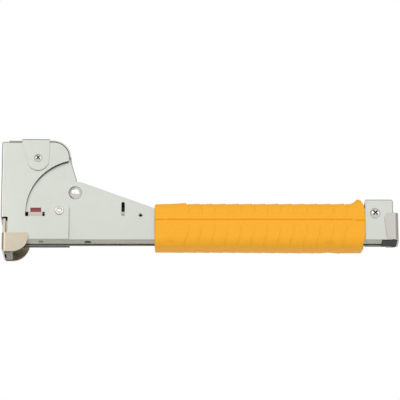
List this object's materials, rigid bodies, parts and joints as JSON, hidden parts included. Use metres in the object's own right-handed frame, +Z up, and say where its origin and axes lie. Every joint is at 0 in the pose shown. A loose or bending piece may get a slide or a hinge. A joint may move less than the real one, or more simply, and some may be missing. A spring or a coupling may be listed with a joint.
{
  "type": "hammer tacker",
  "caption": "Hammer tacker: deep sheet-steel head on a straight ribbed rubber grip, with a tilting staple magazine, D-shaped nose ears and a pull-out staple pusher at the rear.",
  "frame": {"origin": "middle of the strike face, the underside of the nose guide that meets the work", "axes": "+X back along the grip, +Y to the far side of the picture's view, +Z up from the strike face to the top of the head"},
  "size_m": [0.35, 0.0334, 0.1044],
  "materials": {
    "zinc": "zinc-plated sheet, satin",
    "nickel": "nickel-plated, polished",
    "steel": "plain steel, oiled",
    "hard_steel": "hardened tool steel",
    "spring_steel": "spring wire",
    "staple_wire": "galvanised wire",
    "yellow_rubber": "moulded, satin",
    "red_urethane": "moulded, satin",
    "black_plastic": "moulded, matte"
  },
  "bodies": {
    "frame": {"body_shell": "zinc", "head_cover": "zinc", "back_band": "zinc", "saddle_strap": "zinc", "saddle_screws": "nickel", "head_spacer": "steel", "driver_blade": "hard_steel", "driver_holder": "steel", "blade_rivets": "steel", "head_rivet": "nickel", "rivet_spacer": "steel", "cover_rivets": "nickel", "cover_nuts": "steel", "cover_spacers": "steel", "bumper": "red_urethane", "bumper_bars": "nickel", "return_spring": "spring_steel", "spring_bracket": "steel", "roll_pins": "steel", "grip": "yellow_rubber", "rear_housing": "zinc", "pivot_screw": "nickel", "pivot_nut": "steel", "pivot_bushing": "steel"},
    "magazine": {"magazine_channel": "steel", "magazine_lid": "steel", "core_rail": "steel", "rail_rivets": "steel", "staples": "staple_wire", "nose_foot": "nickel", "nose_guide": "hard_steel", "mouth_plate": "steel", "limit_bracket": "steel", "limit_pin": "steel", "pivot_bracket": "steel", "spring_seat": "steel"},
    "pusher": {"pusher_cap": "nickel", "pusher_block": "black_plastic", "pusher_rod": "steel", "pusher_spring": "spring_steel", "cap_rivets": "nickel"},
    "follower": {"follower": "steel"}
  },
  "joints": [
    {"name": "magazine_pivot", "type": "hinge", "parent": "frame", "child": "magazine", "pos_m": [0.3215, 0, 0.0359], "axis": [0, 1, 0], "range_deg": [0, 2.6], "stiffness_Nm_per_rad": 58, "springref_deg": -5.96, "deforming": ["return_spring"]},
    {"name": "pusher_slide", "type": "slide", "parent": "magazine", "child": "pusher", "axis": [1, 0, 0], "range_m": [0, 0.2]},
    {"name": "follower_slide", "type": "slide", "parent": "pusher", "child": "follower", "axis": [1, 0, 0], "range_m": [0, 0.06], "stiffness_N_per_m": 40, "springref_m": -0.2, "deforming": ["pusher_spring"]}
  ]
}
